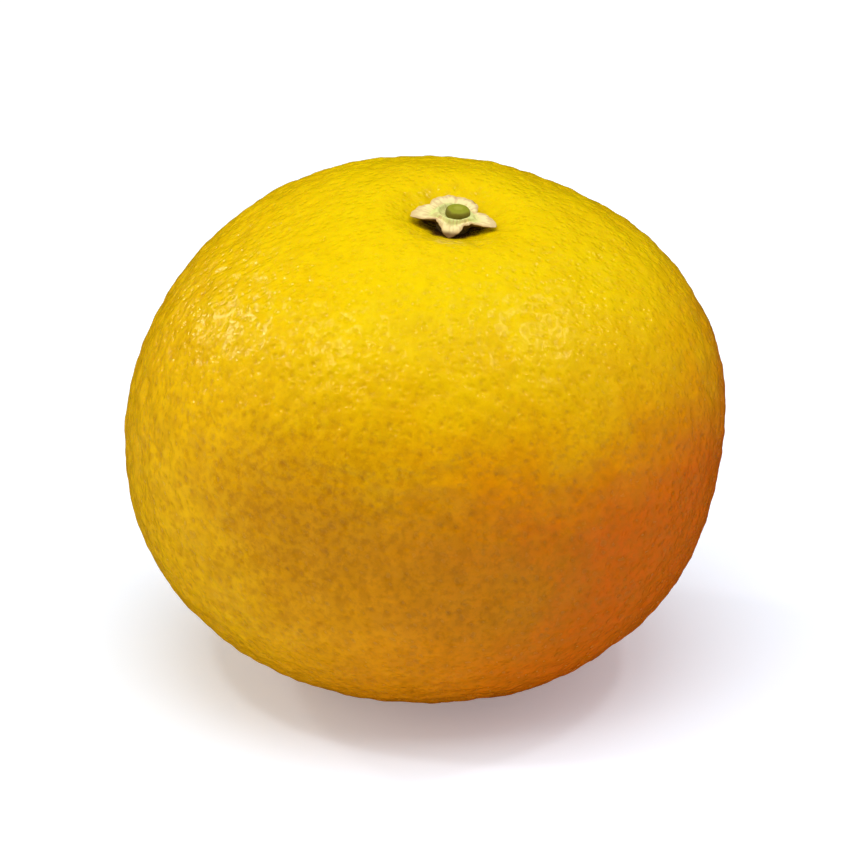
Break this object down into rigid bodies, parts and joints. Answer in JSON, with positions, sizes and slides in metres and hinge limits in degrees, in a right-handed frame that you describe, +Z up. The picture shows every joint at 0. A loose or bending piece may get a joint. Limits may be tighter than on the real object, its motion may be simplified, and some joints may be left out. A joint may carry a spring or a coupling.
{
  "type": "bitter orange",
  "caption": "Whole bitter orange with a pitted yellow-orange rind and its dried stem button, resting on a small flat spot.",
  "frame": {"origin": "on the surface that the fruit rests on, under the middle of its bounding box", "axes": "+Z up from that surface. The stem end is on top and leans 8 degrees towards -Y, the front, and 7 degrees towards +X"},
  "size_m": [0.079, 0.0778, 0.0659],
  "materials": {
    "rind": "waxy pitted citrus rind, satin",
    "sepal": "dry matt sepals, cream with brown edges",
    "stem": "matt green cut stem"
  },
  "bodies": {
    "root": {"fruit": "rind", "calyx": "sepal", "stem_stub": "stem"}
  },
  "joints": []
}
